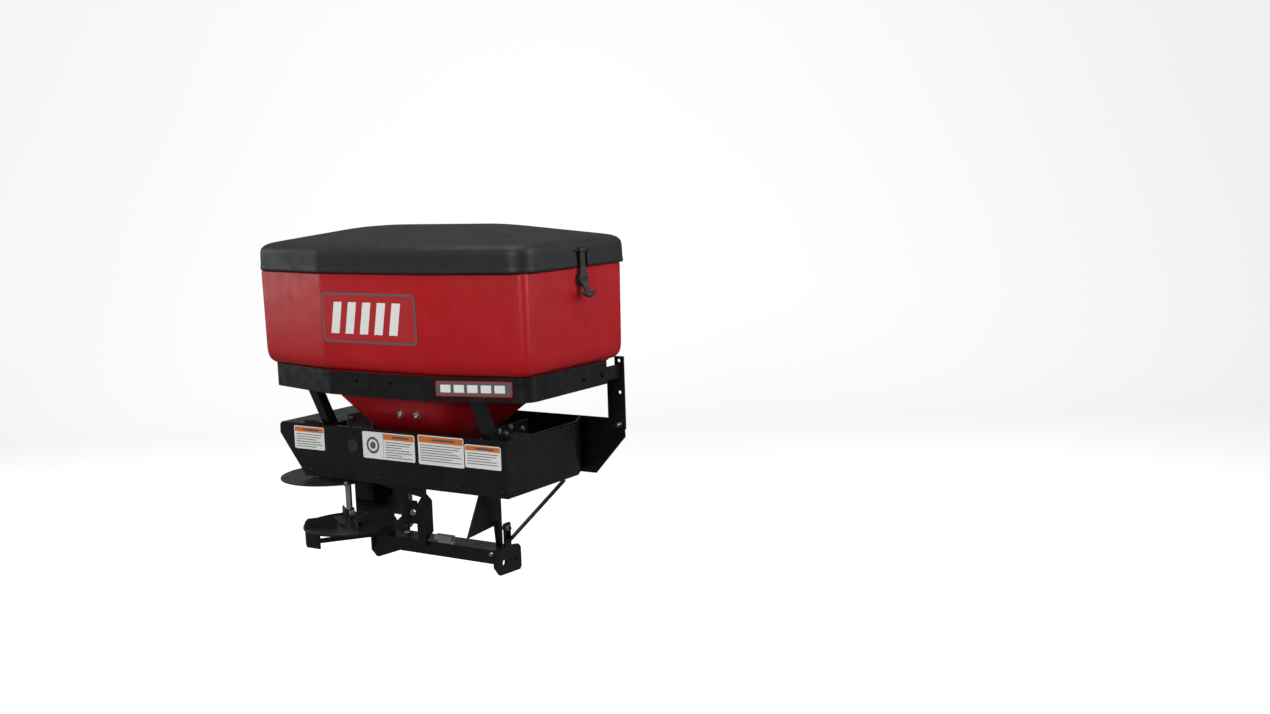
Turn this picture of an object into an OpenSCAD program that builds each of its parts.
// Tailgate salt spreader: a moulded hopper and lid on a steel frame, with a feed auger
// in the enclosure below the hopper and a spinner under the enclosure's left end.
// Units are millimetres. +X is to the right seen from behind, +Y points at the vehicle,
// +Z is up, and the origin is midway between the two end plates on the hitch pin's axis.

/* [Hopper] */
// Half of the hopper's width at its rim
hopper_hw = 417; // [415:0.5:418]
// Half of the flat middle stretch of the rear wall
rear_flat = 158; // [140:1:180]
// Height of the hopper's shoulder, where the lid sits
rim_z = 727; // [715:1:740]
// Wall thickness of the hopper
wall = 5; // [4:0.5:6]
// Height of the lid's straight sides
lid_side = 50; // [40:1:60]
// Height of the lid's crown above its sides
lid_rise = 55; // [45:1:60]

/* [Frame] */
// Thickness of the frame's steel plates
plate = 4; // [3:0.5:4]
// Thickness of the enclosure's sheet steel
sheet = 3; // [2:0.5:3]
// Height of the band's lower edge
band_z = 432; // [428:1:436]
// Height of the band
band_h = 58; // [52:1:60]

/* [Enclosure] */
// Height of the enclosure's floor
floor_z = 199; // [197:1:200]
// Height of the enclosure's top edge
deck_z = 335; // [332:1:338]

/* [Auger] */
// Height of the auger's axis
auger_z = 262; // [261:0.5:263]
// Radius of the auger's flighting
flight_r = 38; // [34:0.5:38.5]
// Distance between two turns of the flighting
pitch = 60; // [50:1:80]

/* [Spinner] */
// Radius of the spinner disc
spinner_r = 118; // [105:1:120]
// Height of the spinner disc's underside
spinner_z = 66; // [64:1:70]
// Height of the spinner's vanes
vane_h = 27; // [20:1:30]

/* [Hitch] */
// Distance between the outer faces of the end plates
hitch_w = 408; // [400:1:410]
// Radius of the hitch pin hole
hitch_r = 8.25; // [8:0.25:9]

/* [Hidden] */
$fn = 48;

RED = [0.62, 0.05, 0.06];
CHARCOAL = [0.12, 0.13, 0.15];
BLACK = [0.05, 0.05, 0.055];
RUBBER = [0.03, 0.03, 0.03];
ZINC = [0.62, 0.63, 0.65];
STEEL = [0.5, 0.5, 0.52];

// Rear and front faces and corner lines of the hopper, at its rim
rear_y = -211;
corner_y = -160;
front_y = 242;
ledge_z = band_z + band_h - 4; // underside of the hopper's seat
outlet_z = 300;                // bottom of the hopper's outlet
band_hw = 407;
band_end_y = 178;
ledge_w = 18;                  // width of the ledge inside the band
leg_top = 452;
leg_x = 257; // centres of the rear legs

// Enclosure
panel_y = -128;      // rear face of the rear panel
front_panel_y = 241; // rear face of the front panel
side_x = 322;        // outer face of the side panel
bend = [280, 241];   // where the side panel's return meets the front panel
plug_r = 14;
post_x = 399;        // centre of the upper mounting holes
post_hole_z = [400, 480];
mount_hole_r = 4.5;
post_bolt = [396, 318];

// Auger drive
shaft_r = 10;
trough_r = 41;
trough_t = 2.5;
auger_x0 = -245; // discharge end of the trough
auger_x1 = 150;  // drive end of the trough
outlet_hw = 115;
gear_m = 1.25;
gear_teeth = 48;
pinion_teeth = 12;
gear_gap = gear_m * (gear_teeth + pinion_teeth) / 2;
gear_x = 173;
gear_t = 12;
box_x0 = 166;
box_x1 = 192;

// Chute, spinner and shroud
chute_x = [-243, -187];
chute_hy = 38;
chute_z = 126;
spin = [-230, -80];
spin_shaft_r = 8;
hub_h = 42;
hub_pin_z = 32;  // height of the cross pin above the hub's foot
hub_pin_a = -20; // direction of the cross pin
hub_pin_r = 3;
shroud_r = 158;
shield = [-288, -62];
shield_r = 140;
shield_z = 190;
flap_pin_xy = [-70, -44];
flap_low = 18; // lowest point of the flap
shield_stud_xy = [-178, -140];
shield_bolt_xy = [[-305, 20], [-305, -105], [-262, 45]];

// Hitch
end_t = 8;
channel_y = [-30, 34];
channel_z = [2, 37];
hw_in = hitch_w / 2 - end_t;
channel_bolt_x = 186;
tab_bolt = [18, 83];

// Fasteners: [position, rotation that turns +Z to the head's direction, grip]
bolt_r = 4;
side_bolts = [[-112, 326], [-112, 217], [149, 214], [149, 326]];
rear_bolts_x = [-308, -75, 170, 304];
front_bolts_x = [-250, 0, 250];
band_bolt_y = [80, 160];
drive_bolts_at = [[-54, 342], [-7, 345], [-27, 332], [41, 332]]; // Y and Z
drive_bolt_r = 3.2;
trough_bolts_at = [[-42, 342], [42, 342]];
baffle_bolt_x = [13, 64];
baffle_bolt_z = 382;
slope_a = atan2(136, 128); // angle of the funnel's rear wall from the horizontal

// Latches, on both sides of the lid
latch_y = 62;              // middle of a latch
latch_z = rim_z + 40;      // height of its pin
strap_w = 17;
grip_w = 48;               // width of the T grip
latch_x = 424;             // the pins, to either side
keeper_x = 422;            // outer faces of the latch keepers
keeper_t = 5;
keeper_w = 34;
pocket_w = 44;             // width of the lid's pocket
screw_r = 2;

// ---------- helpers ----------

function unit(v) = v / norm(v);

// Arc of radius r that rounds vertex b of a convex outline, in n steps
function corner(a, b, c, r, n) =
    let (u = unit(a - b), v = unit(c - b), ang = acos(u * v),
         m = b + unit(u + v) * r / sin(ang / 2),
         s = b + u * r / tan(ang / 2) - m, s0 = atan2(s[1], s[0]))
    [for (i = [0 : n]) m + r * [cos(s0 + (180 - ang) * i / n), sin(s0 + (180 - ang) * i / n)]];

// Convex outline, counter-clockwise, with radius r at every corner
function rounded(pts, r, n = 4) =
    let (k = len(pts))
    [for (i = [0 : k - 1])
        each corner(pts[(i + k - 1) % k], pts[i], pts[(i + 1) % k], is_list(r) ? r[i] : r, n)];

// Plan of the hopper and its band: a flat rear middle, swept rear sides, straight sides
function plan(hw, flat, yr, yc, yf, r, rf = -1, r_mid = 60) =
    rounded([[-hw, yc], [-flat, yr], [flat, yr], [hw, yc], [hw, yf], [-hw, yf]],
            [r, r_mid, r_mid, r, rf < 0 ? r : rf, rf < 0 ? r : rf]);

// Hopper plan at its rim, moved inwards by d
function rim_plan(d, r = 20, rf = 9) =
    plan(hopper_hw - d, rear_flat, rear_y + d, corner_y + d, front_y - d, r, rf);

// Solid through a stack of [z, outline] levels with equal point counts
module loft(levels) {
    n = len(levels[0][1]);
    top = (len(levels) - 1) * n;
    polyhedron(
        points = [for (l = levels) each [for (p = l[1]) [p[0], p[1], l[0]]]],
        faces = concat(
            [[for (i = [0 : n - 1]) i]],
            [[for (i = [n - 1 : -1 : 0]) top + i]],
            [for (k = [0 : len(levels) - 2]) for (i = [0 : n - 1])
                each let (j = (i + 1) % n, a = k * n + i, b = k * n + j)
                    [[a, a + n, b + n], [a, b + n, b]]]));
}

// Hexagon bolt along +Z with its washer on z = 0, a head, a shank and a nut
module bolt(grip, r = bolt_r, washer = 2.1) {
    rotate([0, 0, 15]) translate([0, 0, 1.2]) cylinder(h = r * 1.3, r = r * 1.75, $fn = 6);
    cylinder(h = 1.2, r = r * washer);
    translate([0, 0, -grip - r * 2.2]) cylinder(h = grip + r * 2.2, r = r);
    translate([0, 0, -grip - r * 1.6]) difference() {
        cylinder(h = r * 1.6, r = r * 1.75, $fn = 6);
        translate([0, 0, -1]) cylinder(h = r * 1.6 + 2, r = r * 0.9);
    }
}

// Low round-headed bolt of the sheet steel, along +Z like the others
module panel_bolt(grip, r = 3) {
    cylinder(h = 2.2, r1 = r * 1.75, r2 = r * 1.2);
    translate([0, 0, -grip - r * 2]) cylinder(h = grip + r * 2, r = r);
    translate([0, 0, -grip - r * 1.6]) difference() {
        cylinder(h = r * 1.6, r = r * 1.8, $fn = 6);
        translate([0, 0, -1]) cylinder(h = r * 1.6 + 2, r = r * 0.9);
    }
}

// Clearance hole for a bolt
module bolt_hole(r = bolt_r, h = 40) {
    translate([0, 0, -h / 2]) cylinder(h = h, r = r + 0.3);
}

// Flat bar from a to b, w wide and t thick, lying with its width across the run
module strut(a, b, w, t) {
    d = b - a;
    translate(a) rotate([0, -atan2(d[2], norm([d[0], d[1]])), atan2(d[1], d[0])])
        translate([0, -w / 2, -t / 2]) cube([norm(d), w, t]);
}

// Extrude an outline drawn in X and Z along +Y from y0 to y1
module along_y(y0, y1) {
    translate([0, y1, 0]) rotate([90, 0, 0]) linear_extrude(height = y1 - y0) children();
}

// Extrude an outline drawn in Y and Z along +X from x0 to x1
module along_x(x0, x1) {
    translate([x0, 0, 0]) rotate([90, 0, 90]) linear_extrude(height = x1 - x0) children();
}

module side(x) {
    translate([x, 0, 0]) rotate([0, 90, 0]) children();
}

// ---------- hopper and lid ----------

module hopper() color(RED) difference() {
    loft([
        [outlet_z, plan(outlet_hw, 100, -60, -45, 60, 8, r_mid = 12)],
        [436, plan(275, 150, -188, -40, 150, 20)],
        [ledge_z - 0.1, plan(366, 150, -180, -120, 200, 28)],
        [ledge_z, rim_plan(26, 30)],
        [ledge_z + 4.3, rim_plan(25, 30)],
        [ledge_z + 5, rim_plan(17)],
        [ledge_z + 12, rim_plan(9)],
        [ledge_z + 22, rim_plan(4)],
        [ledge_z + 38, rim_plan(2)],
        [rim_z, rim_plan(0)],
        [rim_z + 0.1, rim_plan(12)],
        [rim_z + 14, rim_plan(12)]]);
    loft([
        [outlet_z - 1, plan(outlet_hw - wall, 96, -55, -41, 55, 5, r_mid = 10)],
        [436 + wall / 2, plan(275 - wall, 147, -183, -37, 145, 16)],
        [ledge_z + wall, plan(372, 152, -186, -130, 205, 26)],
        [ledge_z + wall + 5.5, rim_plan(19 + wall, 26)],
        [ledge_z + wall + 13, rim_plan(8 + wall, 18)],
        [ledge_z + wall + 25, rim_plan(3 + wall, 16)],
        [rim_z - 11, rim_plan(wall, 16)],
        [rim_z - wall, rim_plan(12 + wall, 16)],
        [rim_z + 15, rim_plan(12 + wall, 16)]]);
    for (x = baffle_bolt_x) baffle_place(x) bolt_hole(3.5, 60);
    keeper_screw_places() cylinder(h = 30, r = screw_r, center = true);
}

module lid() color(CHARCOAL) difference() {
    top = rim_z + lid_side;
    loft([
        [rim_z + 0.3, rim_plan(-6, 50, 14)],
        [rim_z + 5, rim_plan(-8, 52, 15)],
        [rim_z + 12, rim_plan(-7, 52, 15)],
        [top, rim_plan(-6, 50, 14)],
        [top + 9, rim_plan(-2, 48, 14)],
        [top + 16, rim_plan(8, 46, 14)],
        [top + 19, rim_plan(20, 46, 16)],
        [top + lid_rise, plan(195, 110, -30, -15, 95, 40)]]);
    loft([
        [rim_z - 1, rim_plan(9, 30)],
        [top + 4, rim_plan(8, 34)],
        [top + 10, rim_plan(22, 34)],
        [top + lid_rise - 8, plan(190, 108, -26, -12, 90, 36)]]);
    for (s = [-1, 1]) translate([s * latch_x, latch_y, 0]) {
        // Pocket for the latch and the cross hole of its pin
        translate([s > 0 ? -9 : -15, -pocket_w / 2, rim_z - 2]) cube([24, pocket_w, 50]);
        translate([0, 0, latch_z]) rotate([90, 0, 0])
            cylinder(h = pocket_w + 14, r = 3, center = true);
    }
}

// Rubber strap latch on the right side; it hangs from a pin in the lid's pocket
module strap_latch() color(RUBBER) translate([keeper_x, latch_y, 0]) {
    difference() {
        along_y(-strap_w / 2, strap_w / 2)
            polygon([[-1.6, 772], [6.4, 772], [7.9, 748], [6.4, 718], [6.9, 708],
                [6.9, 692], [12.4, 678], [19.4, 670], [21.4, 663], [18.4, 657], [12.4, 661],
                [6.4, 672], [1, 686], [1, 722], [-0.6, 748]]);
        translate([latch_x - keeper_x, 0, latch_z]) rotate([90, 0, 0])
            cylinder(h = 30, r = 3.06, center = true);
    }
    // Thicker hook over the keeper, and the grip
    translate([1, -keeper_w / 2, 690]) cube([6.4, keeper_w, 26]);
    translate([18.4, 0, 664]) rotate([90, 0, 0]) cylinder(h = grip_w, r = 5, center = true);
}

module latch_right() strap_latch();
module latch_left() mirror([1, 0, 0]) strap_latch();

module latch_pins() color(ZINC) for (s = [-1, 1])
    translate([s * latch_x, latch_y, latch_z]) rotate([90, 0, 0])
        cylinder(h = pocket_w + 10, r = 3, center = true);

// Fork that the latch's hook lies on, screwed to the hopper's side
module latch_keepers() color(BLACK) difference() {
    for (s = [-1, 1])
        translate([s * keeper_x - (s > 0 ? keeper_t : 0), latch_y - keeper_w / 2, 687])
            cube([keeper_t, keeper_w, 26]);
    keeper_screw_places() {
        cylinder(h = 30, r = screw_r, center = true);
        translate([0, 0, -2.2]) cylinder(h = 5, r = 3.6);
    }
}

// Local +Z points out of the hopper's side, from the keeper's outer face
module keeper_screw_places() {
    for (s = [-1, 1]) for (y = [latch_y - 11, latch_y + 11])
        translate([s * keeper_x, y, 700]) rotate([0, s * 90, 0]) children();
}

module keeper_screws() color(ZINC) keeper_screw_places() {
    translate([0, 0, -2.1]) cylinder(h = 2, r = 3.5);
    translate([0, 0, -14]) cylinder(h = 12, r = screw_r - 0.05);
}

module baffle_place(x) {
    y = -60 - (baffle_bolt_z - outlet_z) * 128 / 136;
    translate([x, y, baffle_bolt_z]) rotate([180 - slope_a, 0, 0]) children();
}

// Sheet bent to a ridge over the auger, with two straps to the hopper's rear wall
module inverted_v() color(STEEL) {
    along_x(-98, 98) polygon([[-48, 352], [0, 402], [48, 352], [46, 350], [0, 397.5], [-46, 350]]);
    for (x = baffle_bolt_x) difference() {
        translate([x - 10, -124, 372]) cube([20, 97, 3]);
        baffle_place(x) bolt_hole(3.5, 60);
    }
    translate([baffle_bolt_x[0] - 10, 24, 372]) cube([71, 90, 3]);
}

module baffle_bolts() color(ZINC) for (x = baffle_bolt_x) baffle_place(x) {
    bolt(7, 3.5, 3);
    translate([0, 0, 5]) cylinder(h = 5, r = 3.5);
}

// ---------- frame ----------

function band_plan(d, ext = 0) =
    plan(band_hw - d, 150, -205 + d, -141 + d, band_end_y + ext, 36 - d / 3, 1);

module frame_band() color(BLACK) difference() {
    union() {
        translate([0, 0, band_z]) linear_extrude(height = band_h) difference() {
            polygon(band_plan(0));
            polygon(band_plan(plate, 30));
        }
        translate([0, 0, ledge_z - plate - 0.3]) linear_extrude(height = plate) difference() {
            polygon(band_plan(plate - 0.5));
            polygon(band_plan(plate + ledge_w, 30));
        }
    }
    for (x = [-60, 46]) translate([x, -203, 468]) rotate([90, 0, 0])
        cylinder(h = 20, r = 4.2, center = true);
    for (s = [-1, 1]) for (y = band_bolt_y) translate([s * band_hw, y, 458])
        rotate([0, 90, 0]) bolt_hole();
}

// The front pair also holds the posts' brackets
module band_bolts() color(BLACK) for (s = [-1, 1]) for (i = [0, 1])
    translate([s * band_hw, band_bolt_y[i], 458]) rotate([0, s * 90, 0]) bolt(plate * (i + 1));

// Angle-section leg from inside the band down to a foot on the rear panel
module rear_leg(s) color(BLACK) {
    x = s * leg_x;
    lean = atan2(47, 100);
    difference() {
        translate([x, -105, 322]) rotate([lean, 0, 0]) linear_extrude(height = 164)
            polygon([[-13, -4], [13, -4], [13, 22], [9, 22], [9, 0], [-13, 0]]);
        translate([x - 30, -230, leg_top]) cube([60, 150, 40]);
        translate([x - 30, -130, 280]) cube([60, 60, 42]);
    }
    translate([x - 22, -125, 318]) cube([44, 40, 4]);
    translate([x - 22, -125, 288]) cube([44, 4, 30]);
}

module rear_leg_left() rear_leg(-1);
module rear_leg_right() rear_leg(1);

// Upright between the front panel and the band, with the upper mounting holes
module front_post() color(BLACK) difference() {
    union() {
        along_y(244, 244 + plate) polygon([[362, 300], [405, 300], [413, 308], [413, 491],
            [386, 491], [386, 440], [362, 428]]);
        translate([399, 140, 438]) cube([plate, 104, 34]);
    }
    for (z = post_hole_z) translate([post_x, 246, z]) rotate([90, 0, 0])
        cylinder(h = 20, r = mount_hole_r, center = true);
    translate([401, 160, 458]) rotate([0, 90, 0]) bolt_hole();
    translate([post_bolt[0], 245, post_bolt[1]]) rotate([90, 0, 0]) bolt_hole();
}

module front_post_left() mirror([1, 0, 0]) front_post();
module front_post_right() front_post();

// ---------- enclosure ----------

left_edge = [[-404, deck_z - 1], [-411, deck_z - 8], [-412, 305], [-329, floor_z]];

module rear_panel() color(BLACK) difference() {
    union() {
        along_y(panel_y, panel_y + sheet)
            polygon(concat(left_edge, [[side_x, floor_z], [side_x, deck_z]]));
        // Hem along the top edge between the legs
        translate([-leg_x + 24, panel_y + 1, deck_z - sheet])
            cube([2 * leg_x - 48, 12, sheet]);
    }
    translate([-158, panel_y, 288]) rotate([90, 0, 0])
        cylinder(h = 20, r = plug_r, center = true);
    for (x = rear_bolts_x)
        translate([x, panel_y, floor_z + 14]) rotate([90, 0, 0]) bolt_hole(3);
}

module front_panel() color(BLACK) difference() {
    along_y(front_panel_y, front_panel_y + sheet)
        polygon(concat(left_edge, [[-322, 188], [322, 188], [413, 288], [411, deck_z - 8],
            [404, deck_z - 1]]));
    for (s = [-1, 1]) translate([s * post_bolt[0], 242, post_bolt[1]]) rotate([90, 0, 0])
        bolt_hole();
    for (x = front_bolts_x)
        translate([x, 242, floor_z + 14]) rotate([90, 0, 0]) bolt_hole(3);
    translate([-120, 242, 290]) rotate([90, 0, 0]) cylinder(h = 20, r = 9, center = true);
}

// Right side wall, bent inwards at its front end
module side_panel() color(BLACK) difference() {
    translate([0, 0, floor_z + sheet + 0.2]) linear_extrude(height = deck_z - floor_z - sheet - 0.2)
        polygon([[side_x - sheet, panel_y + sheet], [side_x, panel_y + sheet], [side_x, 161],
            [bend[0] + 2, bend[1]], [bend[0] - 2, bend[1]], [side_x - sheet, 160]]);
    for (b = side_bolts) translate([side_x, b[0], b[1]]) rotate([0, 90, 0]) bolt_hole(3);
}

// Deck and slanted side over the spinner's motor
module left_cover() color(BLACK) difference() {
    along_y(panel_y + sheet, front_panel_y)
        polygon([[-254, deck_z - 1], each left_edge, [-326, floor_z + 3.5], [-409.3, 306],
            [-408.4, deck_z - 9], [-403, deck_z - 3.5], [-254, deck_z - 3.5]]);
    // Notch for the leg's foot
    translate([-leg_x - 17, panel_y, deck_z - 10]) cube([30, 45, 20]);
}

// Raised lip along the deck's rear edge, beside the leg
module deck_lip() color(BLACK) {
    translate([-326, panel_y + sheet, deck_z - 1]) cube([50, sheet, 9]);
    translate([-326, panel_y + sheet, deck_z - 1]) cube([50, 14, sheet]);
}

module floor_pan() color(BLACK) difference() {
    union() {
        translate([0, 0, floor_z]) linear_extrude(height = sheet) difference() {
            polygon([[-324, panel_y + sheet], [side_x, panel_y + sheet], [side_x, 161],
                [bend[0] + 2, bend[1]], [-324, bend[1]]]);
            translate([chute_x[0] - 1, -chute_hy - 1])
                square([chute_x[1] - chute_x[0] + 2, 2 * chute_hy + 2]);
            translate(spin) circle(r = 14);
        }
        translate([-320, panel_y + sheet, floor_z + sheet]) cube([634, sheet, 24]);
        translate([-320, front_panel_y - sheet, floor_z + sheet]) cube([590, sheet, 24]);
        translate([side_x - 2 * sheet, -118, floor_z + sheet + 0.2]) cube([sheet, 274, 24]);
    }
    for (p = shield_bolt_xy) translate([p[0], p[1], floor_z]) bolt_hole(3);
    for (x = rear_bolts_x)
        translate([x, panel_y, floor_z + 14]) rotate([90, 0, 0]) bolt_hole(3);
    for (x = front_bolts_x)
        translate([x, 242, floor_z + 14]) rotate([90, 0, 0]) bolt_hole(3);
    for (b = side_bolts)
        translate([side_x, b[0], b[1]]) rotate([0, 90, 0]) bolt_hole(3, 24);
}

module hole_plug() color(RUBBER) translate([-158, panel_y, 288]) rotate([90, 0, 0]) {
    rotate_extrude() polygon([[0, 0.05], [17, 0.05], [16.6, 1.4], [14, 2.4], [0, 2.9]]);
    translate([0, 0, -7]) cylinder(h = 7.1, r = plug_r - 0.1);
}

module panel_bolts() color(BLACK) {
    for (x = rear_bolts_x)
        translate([x, panel_y, floor_z + 14]) rotate([90, 0, 0]) panel_bolt(2 * sheet);
    for (x = front_bolts_x)
        translate([x, front_panel_y + sheet, floor_z + 14]) rotate([-90, 0, 0])
            panel_bolt(2 * sheet);
    for (b = side_bolts) translate([side_x, b[0], b[1]]) rotate([0, 90, 0])
        panel_bolt(b[1] < 250 ? 2 * sheet : sheet);
}

module post_bolts() color(ZINC) for (s = [-1, 1])
    translate([s * post_bolt[0], front_panel_y + sheet + plate, post_bolt[1]])
        rotate([-90, 0, 0])
        bolt(sheet + plate);

module cable_gland() color(RUBBER) translate([-120, 244, 290]) rotate([-90, 0, 0]) {
    difference() {
        union() {
            cylinder(h = 6, r = 13, $fn = 6);
            translate([0, 0, 6]) cylinder(h = 12, r1 = 10, r2 = 7);
            translate([0, 0, -12]) cylinder(h = 12, r = 8.8);
        }
        translate([0, 0, -20]) cylinder(h = 50, r = 4);
    }
}

// ---------- auger ----------

module auger_trough() color(STEEL) difference() {
    union() {
        side(auger_x0) translate([-auger_z, 0, 0]) cylinder(h = auger_x1 - auger_x0, r = trough_r + trough_t);
        along_x(-outlet_hw - 4, outlet_hw + 4)
            polygon([[-43.5, auger_z], [-66, outlet_z], [66, outlet_z], [43.5, auger_z]]);
        // End plate, with a pair of bolts above the deck
        translate([auger_x0, -56, 320]) cube([trough_t, 112, 30]);
        translate([auger_x0, -38, auger_z]) cube([trough_t, 76, 60]);
    }
    side(auger_x0 + 2.5) translate([-auger_z, 0, 0]) cylinder(h = auger_x1 - auger_x0 - 5, r = trough_r);
    along_x(-outlet_hw, outlet_hw)
        polygon([[-41, auger_z - 1], [-63, outlet_z + 1], [63, outlet_z + 1], [41, auger_z - 1]]);
    translate([-outlet_hw - 9, -70, outlet_z]) cube([2 * outlet_hw + 18, 140, 20]);
    side(auger_x0 - 5) translate([-auger_z, 0, 0]) cylinder(h = 500, r = shaft_r + 1);
    for (p = trough_bolts_at) side(auger_x0) translate([-p[1], p[0], 0]) bolt_hole(drive_bolt_r);
    translate([chute_x[0] + 2.5, 2.5 - chute_hy, auger_z - 60])
        cube([chute_x[1] - chute_x[0] - 5, 2 * chute_hy - 5, 50]);
}

// Square duct that drops the material from the trough onto the spinner
module discharge_chute() color(STEEL) difference() {
    translate([chute_x[0], -chute_hy, chute_z])
        cube([chute_x[1] - chute_x[0], 2 * chute_hy, auger_z - 20 - chute_z]);
    translate([chute_x[0] + 2.5, 2.5 - chute_hy, chute_z - 1])
        cube([chute_x[1] - chute_x[0] - 5, 2 * chute_hy - 5, 200]);
    side(auger_x0 - 10) translate([-auger_z, 0, 0]) cylinder(h = 120, r = trough_r + trough_t + 0.1);
}

module auger_shaft() color(STEEL) side(auger_x0 - 10) translate([-auger_z, 0, 0])
    cylinder(h = 186 - auger_x0 + 10, r = shaft_r);

// Helical ribbon along +X, a square section swept by steps of a turn
module auger_flighting() color(STEEL) {
    steps = 18;
    run = 322;
    turns = run / pitch;
    n = round(turns * steps);
    t = 4;
    ring = [[shaft_r + 0.3, 0], [flight_r, 0], [flight_r, t], [shaft_r + 0.3, t]];
    pts = [for (i = [0 : n]) for (q = ring)
        let (a = 360 * turns * i / n) [q[1] + run * i / n, q[0] * cos(a), q[0] * sin(a)]];
    translate([-180, 0, auger_z]) polyhedron(points = pts, faces = concat(
        [[0, 1, 2, 3]], [[4 * n + 3, 4 * n + 2, 4 * n + 1, 4 * n]],
        [for (i = [0 : n - 1]) for (k = [0 : 3])
            each let (a = 4 * i + k, b = 4 * i + (k + 1) % 4)
                [[a, a + 4, b + 4], [a, b + 4, b]]]));
}

// Flanged bearing on an end of the trough; d is +1 or -1 along X
module end_bearing(x, d) color(ZINC) translate([x, 0, auger_z]) rotate([0, d * 90, 0]) difference() {
    union() {
        cylinder(h = 3, r = 27);
        cylinder(h = 10, r = 19);
    }
    translate([0, 0, -1]) cylinder(h = 12, r = shaft_r + 0.05);
    for (a = [45 : 90 : 315]) rotate([0, 0, a]) translate([23, 0, -1]) cylinder(h = 6, r = 2);
}

module left_bearing() end_bearing(auger_x0, -1);
module right_bearing() end_bearing(auger_x1, 1);

// Outline of a spur gear: trapezoid teeth with backlash
function gear_outline(teeth) = [for (i = [0 : teeth - 1]) each
    let (p = gear_m * teeth / 2, a = 360 / teeth)
    [for (q = [[p - 1.15 * gear_m, -0.34], [p, -0.21], [p + 0.92 * gear_m, -0.10],
               [p + 0.92 * gear_m, 0.10], [p, 0.21], [p - 1.15 * gear_m, 0.34]])
        q[0] * [cos((i + q[1]) * a), sin((i + q[1]) * a)]]];

module gear_wheel() color(STEEL) translate([gear_x, 0, auger_z]) rotate([90, 0, 90])
    rotate([0, 0, 90]) linear_extrude(height = gear_t) difference() {
        polygon(gear_outline(gear_teeth));
        circle(r = shaft_r + 0.02);
    }

module drive_pinion() color(STEEL) translate([gear_x, 0, auger_z + gear_gap]) rotate([90, 0, 90]) {
    rotate([0, 0, 180 / pinion_teeth - 90]) linear_extrude(height = gear_t)
        polygon(gear_outline(pinion_teeth));
    translate([0, 0, gear_t]) cylinder(h = 26, r = 4);
}

// Cup round the gears, closed by a cover on the motor's side
module gearbox_housing() color(STEEL) difference() {
    along_x(box_x0, box_x1 - 4) union() {
        translate([0, auger_z]) circle(r = 38);
        translate([0, auger_z + gear_gap]) circle(r = 20);
        translate([-20, auger_z]) square([40, gear_gap]);
        translate([-42, auger_z - 42]) square([84, 20]);
    }
    along_x(box_x0 + 4, box_x1) union() {
        translate([0, auger_z]) circle(r = 33);
        translate([0, auger_z + gear_gap]) circle(r = 12);
    }
    side(box_x0 - 5) translate([-auger_z, 0, 0]) cylinder(h = 20, r = shaft_r + 0.5);
}

module gearbox_cover() color(STEEL) difference() {
    along_x(box_x1 - 4, box_x1) union() {
        translate([0, auger_z]) circle(r = 38);
        translate([0, auger_z + gear_gap]) circle(r = 20);
        translate([-20, auger_z]) square([40, gear_gap]);
    }
    side(box_x1 - 10) translate([-auger_z - gear_gap, 0, 0]) cylinder(h = 20, r = 4.5);
}

module auger_motor() color(BLACK) difference() {
    side(box_x1) translate([-auger_z - gear_gap, 0, 0]) union() {
        cylinder(h = 8, r = 22);
        translate([0, 0, 8]) cylinder(h = 92, r = 30);
        translate([0, 0, 100]) cylinder(h = 10, r1 = 27, r2 = 18);
    }
    side(box_x1 - 1) translate([-auger_z - gear_gap, 0, 0]) cylinder(h = 24, r = 4.05);
}

// Upright bracket round the auger's motor, on the enclosure's floor
module drive_bracket() color(BLACK) difference() {
    union() {
        translate([240, -64, floor_z + sheet]) cube([plate, 128, 150]);
        translate([240, -64, floor_z + sheet]) cube([30, 128, plate]);
    }
    side(230) translate([-auger_z - gear_gap, 0, 0]) cylinder(h = 30, r = 30.1);
    for (p = drive_bolts_at) side(240) translate([-p[1], p[0], 0]) bolt_hole(drive_bolt_r);
}

module drive_bolts() color(ZINC) {
    for (p = drive_bolts_at) side(240 + plate) translate([-p[1], p[0], 0]) bolt(plate, drive_bolt_r);
    for (p = trough_bolts_at)
        side(auger_x0) translate([-p[1], p[0], 0]) mirror([0, 0, 1]) bolt(trough_t, drive_bolt_r);
}

// ---------- spinner ----------

module spinner_motor() color(BLACK) translate([spin[0], spin[1], 0]) difference() {
    union() {
        translate([-30, -30, floor_z + sheet]) cube([60, 60, 12]);
        translate([0, 0, floor_z + sheet + 12]) cylinder(h = 92, r = 34);
        translate([0, 0, floor_z + sheet + 104]) cylinder(h = 10, r1 = 30, r2 = 20);
    }
    translate([0, 0, 150]) cylinder(h = 82, r = spin_shaft_r + 0.05);
}

module spinner_shaft() color(ZINC) translate([spin[0], spin[1], spinner_z]) difference() {
    translate([0, 0, -10]) cylinder(h = 228 - spinner_z + 10, r = spin_shaft_r);
    translate([0, 0, 3 + hub_pin_z]) rotate([0, 90, hub_pin_a])
        cylinder(h = 60, r = hub_pin_r, center = true);
}

module spinner_hub() color(ZINC) translate([spin[0], spin[1], spinner_z + 3]) difference() {
    union() {
        cylinder(h = 5, r = 28);
        cylinder(h = hub_h, r = 12.5);
    }
    translate([0, 0, -1]) cylinder(h = hub_h + 2, r = spin_shaft_r + 0.01);
    translate([0, 0, hub_pin_z]) rotate([0, 90, hub_pin_a])
        cylinder(h = 60, r = hub_pin_r, center = true);
}

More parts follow.
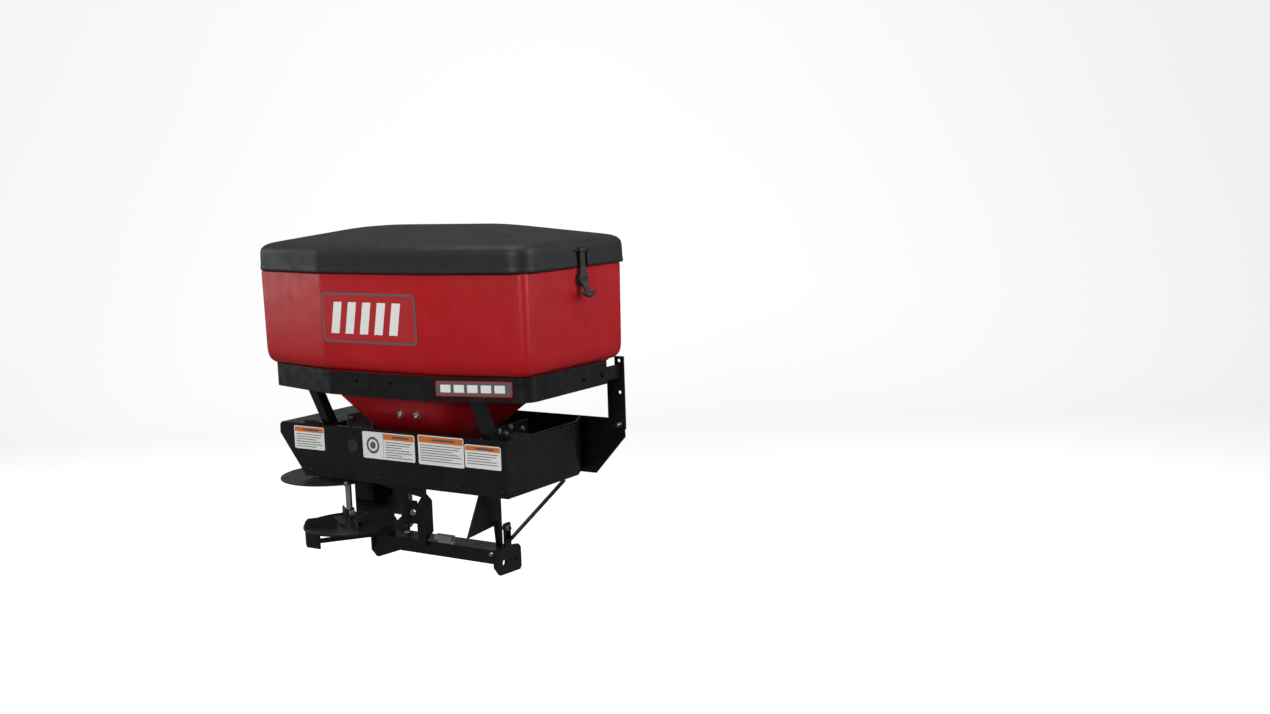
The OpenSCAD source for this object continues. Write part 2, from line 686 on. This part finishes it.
// Pin through the hub and the shaft, with a wide head on its outer end
module hub_pin() color(ZINC)
    translate([spin[0], spin[1], spinner_z + 3 + hub_pin_z]) rotate([0, 90, hub_pin_a]) {
        translate([0, 0, -16]) cylinder(h = 36, r = hub_pin_r - 0.05);
        translate([0, 0, 13.2]) cylinder(h = 3, r = 8);
        translate([0, 0, 16.2]) cylinder(h = 4, r = 7, $fn = 6);
    }

// Disc with a rolled rim and four upright vanes
module spinner_disc() color(BLACK) translate([spin[0], spin[1], spinner_z]) {
    difference() {
        union() {
            cylinder(h = 3, r = spinner_r, $fn = 96);
            rotate_extrude($fn = 96) polygon([[spinner_r - 3, 0], [spinner_r, 0],
                [spinner_r + 1, 3], [spinner_r, 8], [spinner_r - 3, 8]]);
        }
        translate([0, 0, -1]) cylinder(h = 6, r = spin_shaft_r + 0.05);
    }
    for (a = [53 : 90 : 323]) rotate([0, 0, a]) translate([33, -1.5, 3])
        rotate([90, 0, 0]) translate([0, 0, -3]) linear_extrude(height = 3)
            polygon([[0, 0], [spinner_r - 36, 0], [spinner_r - 36, vane_h - 8],
                [spinner_r - 44, vane_h], [14, vane_h], [0, vane_h - 12]]);
}

// Round plate over the spinner that keeps thrown material low
module top_shield() color(BLACK) difference() {
    translate([shield[0], shield[1], shield_z]) cylinder(h = 3, r = shield_r, $fn = 96);
    translate([chute_x[0] - 1, -chute_hy - 1, shield_z - 5])
        cube([chute_x[1] - chute_x[0] + 2, 2 * chute_hy + 2, 20]);
    translate([spin[0], spin[1], shield_z - 5]) cylinder(h = 20, r = 13);
    for (p = shield_bolt_xy) translate([p[0], p[1], shield_z]) bolt_hole(3);
    translate([shield_stud_xy[0], shield_stud_xy[1], shield_z]) bolt_hole(3);
}

module shield_bolts() color(ZINC) for (p = shield_bolt_xy) {
    translate([p[0], p[1], shield_z]) rotate([180, 0, 0]) bolt(floor_z + sheet - shield_z, 3);
    translate([p[0], p[1], shield_z + 3]) difference() {
        cylinder(h = floor_z - shield_z - 3, r = 6);
        translate([0, 0, -1]) cylinder(h = 10, r = 3.3);
    }
}

// Bolt through the shield's free edge, in front of the enclosure's rear panel
module shield_stud() color(ZINC) translate([shield_stud_xy[0], shield_stud_xy[1], shield_z + 3])
    bolt(3, 3);

// Curved wall between the spinner and the vehicle, with the flap's hinge lugs
module spinner_shroud() color(BLACK) difference() {
    union() {
        translate([spin[0], spin[1], 0]) {
            rotate([0, 0, 14]) rotate_extrude(angle = 114, $fn = 120)
                translate([shroud_r, 62]) square([3, 124]);
            rotate([0, 0, 14]) rotate_extrude(angle = 72, $fn = 120)
                translate([shroud_r, 180]) square([3, floor_z - 180]);
            rotate([0, 0, 14]) rotate_extrude(angle = 72, $fn = 120)
                translate([shroud_r, floor_z - 3]) square([20, 3]);
        }
        for (z = [62, 161]) {
            translate([flap_pin_xy[0], flap_pin_xy[1], z]) cylinder(h = 12, r = 8);
            translate([flap_pin_xy[0] - 8, flap_pin_xy[1], z]) cube([9, 10, 12]);
        }
    }
    translate([flap_pin_xy[0], flap_pin_xy[1], 50]) cylinder(h = 140, r = 4.02);
    // Room for the flap's barrel between the lugs and for the pin's head above them
    translate([flap_pin_xy[0], flap_pin_xy[1], 74.3]) cylinder(h = 86.4, r = 9);
    translate([flap_pin_xy[0], flap_pin_xy[1], 173.1]) cylinder(h = 20, r = 9);
}

module flap_pin() color(ZINC) translate([flap_pin_xy[0], flap_pin_xy[1], 0]) {
    translate([0, 0, 56]) cylinder(h = 122, r = 4);
    translate([0, 0, 173.3]) cylinder(h = 5, r = 7, $fn = 6);
    translate([0, 0, 56]) cylinder(h = 5.7, r = 7, $fn = 6);
}

// Adjustable side deflector that turns on the flap pin
module deflector_flap() color(BLACK) translate([flap_pin_xy[0], flap_pin_xy[1], 0]) difference() {
    union() {
        translate([0, 0, 75]) cylinder(h = 85, r = 7);
        // Arm, bent blade with a slanted top, and the blade's side
        translate([0, -1.5, 82]) cube([38, 3, 60]);
        along_y(-1.5, 1.5) polygon([[35, 129], [62, 165], [62, 36], [41, flap_low], [36, 24]]);
        translate([59, 0, 0]) along_x(0, 3) polygon([[-1.5, 36], [-1.5, 165], [6, 165],
            [30, 140], [30, 60]]);
    }
    translate([0, 0, 60]) cylinder(h = 120, r = 4.06);
    translate([26, 0, 112]) rotate([90, 0, 0]) cylinder(h = 20, r = 4.3, center = true);
}

// Bolt that clamps the flap at the chosen angle
module flap_bolt() color(ZINC) translate([flap_pin_xy[0] + 26, flap_pin_xy[1] - 1.5, 112])
    rotate([90, 0, 0]) bolt(3);

// Angle under the floor whose lower edge slants down to the right
module skirt_plate() color(BLACK) {
    along_y(-102, -99) polygon([[-112, 190], [49, 167], [49, floor_z], [-112, floor_z]]);
    translate([-112, -99, floor_z - 3]) cube([161, 18, 3]);
}

module flap_stop() color(ZINC) {
    translate([16, channel_y[0], channel_z[1]]) cube([54, 6, 14]);
    translate([16, channel_y[0] - 12, channel_z[1] + 10]) cube([54, 18, 13]);
}

// ---------- hitch ----------

// Strap under the spinner that ends in a bent plate
module lower_guard() color(BLACK) {
    strap_a = [-140, -12];
    strap_b = [-254, -167];
    run = strap_b - strap_a;
    translate([strap_a[0], strap_a[1], channel_z[1]]) rotate([0, 0, atan2(run[1], run[0])])
        translate([0, -2.5, 0]) cube([norm(run), 5, 12]);
    translate([0, 0, 22]) linear_extrude(height = 40)
        polygon([[-252, -171], [-252, -167], [-296, -167], [-324, -143], [-327, -146],
            [-298, -171]]);
}

module hitch_channel() color(BLACK) difference() {
    translate([-hw_in, channel_y[0], channel_z[0]])
        cube([2 * hw_in, channel_y[1] - channel_y[0], channel_z[1] - channel_z[0]]);
    translate([-hw_in - 1, channel_y[0] + plate, channel_z[0] - 1])
        cube([2 * hw_in + 2, channel_y[1] - channel_y[0] - 2 * plate,
            channel_z[1] - channel_z[0] + 1 - plate]);
    translate([channel_bolt_x, channel_y[0], 27]) rotate([90, 0, 0]) bolt_hole(2.5, 30);
}

plate_low = [[-36, -6], [-17, -29], [62, -32], [68, -24]];

module end_plate(pts, x0) color(BLACK) difference() {
    along_x(x0, x0 + end_t) polygon(concat(plate_low, pts));
    side(x0 - 5) cylinder(h = 20, r = hitch_r);
    side(x0 - 5) translate([3, 46, 0]) cylinder(h = 20, r = 5);
    side(x0) translate([-tab_bolt[1], tab_bolt[0], 0]) bolt_hole(h = 60);
}

module end_plate_left() end_plate([[118, 60], [118, floor_z - 3.2], [86, floor_z - 3.2], [86, 56],
    [60, 46], [8, 38], [-36, 32]], -hitch_w / 2);
module end_plate_right() end_plate([[68, 24], [60, 34], [30, 38], [30, 96], [8, 96],
    [8, 38], [-36, 32]], hitch_w / 2 - end_t);

module hanger_plate() color(BLACK)
    along_x(178, 182) polygon([[-113, 84], [-6, 92], [0, channel_z[1]], [24, channel_z[1]],
        [24, floor_z], [-50, floor_z]]);

module brace(s, start) color(BLACK)
    strut([s * (hitch_w / 2 + 4), start[0], start[1]], [s * 316, start[2], 197.4], 26, 5);
module brace_left() brace(-1, [98, 60, 190]);
module brace_right() brace(1, [20, 54, 110]);

module hitch_bolts() color(ZINC) {
    translate([channel_bolt_x, channel_y[0], 27]) rotate([90, 0, 0]) bolt(plate, 2.5);
    translate([hitch_w / 2, tab_bolt[0], tab_bolt[1]]) rotate([0, 90, 0]) bolt(end_t);
}

hopper();
lid();
latch_right();
latch_left();
latch_pins();
latch_keepers();
keeper_screws();
inverted_v();
baffle_bolts();
frame_band();
band_bolts();
rear_leg_left();
rear_leg_right();
front_post_left();
front_post_right();
rear_panel();
front_panel();
side_panel();
left_cover();
floor_pan();
hole_plug();
panel_bolts();
auger_trough();
discharge_chute();
auger_shaft();
auger_flighting();
left_bearing();
right_bearing();
gear_wheel();
gearbox_housing();
gearbox_cover();
drive_pinion();
auger_motor();
spinner_motor();
spinner_shaft();
spinner_hub();
spinner_disc();
top_shield();
shield_bolts();
spinner_shroud();
flap_pin();
deflector_flap();
skirt_plate();
flap_stop();
lower_guard();
hitch_channel();
end_plate_left();
end_plate_right();
hanger_plate();
brace_left();
brace_right();
hitch_bolts();
cable_gland();
post_bolts();
deck_lip();
hub_pin();
flap_bolt();
shield_stud();
drive_bracket();
drive_bolts();
